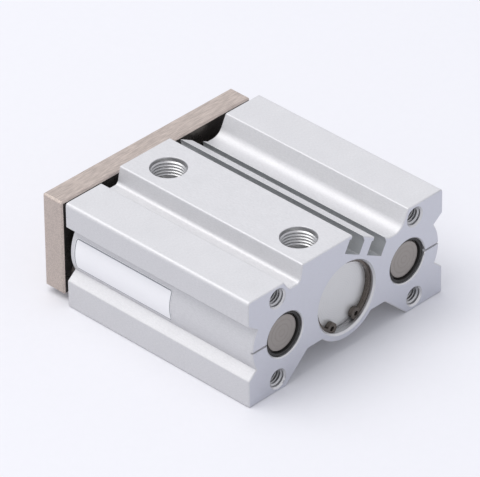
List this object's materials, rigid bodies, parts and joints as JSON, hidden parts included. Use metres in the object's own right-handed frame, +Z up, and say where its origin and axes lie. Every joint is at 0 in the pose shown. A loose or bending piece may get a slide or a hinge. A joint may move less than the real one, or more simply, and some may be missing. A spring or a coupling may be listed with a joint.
{
  "type": "guided pneumatic cylinder",
  "caption": "Compact guided air cylinder: grooved aluminium body, air ports on top, sensor slots, and an end plate driven by a piston rod between guide rods.",
  "frame": {"origin": "under the middle of the retracted cylinder's overall box, on the plane that its two feet stand on", "axes": "+Y along the stroke, the way the end plate moves out; +Z up, out of the face with the air ports; +X across the width, towards the side with the sensor slots"},
  "size_m": [0.058, 0.0608, 0.0277],
  "materials": {
    "anodised_aluminium": "satin, clear anodised",
    "machined_aluminium": "fine turned, satin",
    "nickel_plated_steel": "fine brushed, nickel plated",
    "rod_steel": "ground, turned end faces",
    "spring_steel": "dark phosphated",
    "screw_steel": "zinc nickel plated",
    "dry_bearing": "bronze backed, black low-friction lining",
    "nitrile_rubber": "black, matt",
    "urethane": "amber, semi-matt",
    "magnet_rubber": "dark grey, matt",
    "felt": "grey pressed felt"
  },
  "bodies": {
    "housing": {"body": "anodised_aluminium", "head_cover": "machined_aluminium", "head_cover_gasket": "nitrile_rubber", "rear_retaining_ring": "spring_steel", "rear_bumper": "urethane", "rod_cover": "machined_aluminium", "rod_cover_gasket": "nitrile_rubber", "rod_seal": "nitrile_rubber", "front_retaining_ring": "spring_steel", "front_bumper": "urethane", "rear_guide_bush_left": "dry_bearing", "front_guide_bush_left": "dry_bearing", "felt_wiper_left": "felt", "wiper_holder_left": "spring_steel", "rear_guide_bush_right": "dry_bearing", "front_guide_bush_right": "dry_bearing", "felt_wiper_right": "felt", "wiper_holder_right": "spring_steel"},
    "carriage": {"end_plate": "nickel_plated_steel", "piston_rod": "rod_steel", "piston": "machined_aluminium", "piston_seal": "nitrile_rubber", "piston_magnet": "magnet_rubber", "piston_rod_screw": "screw_steel", "guide_rod_left": "rod_steel", "guide_rod_screw_left": "screw_steel", "guide_rod_right": "rod_steel", "guide_rod_screw_right": "screw_steel"}
  },
  "joints": [
    {"name": "plate_slide", "type": "slide", "parent": "housing", "child": "carriage", "axis": [0, 1, 0], "range_m": [0, 0.025]}
  ]
}
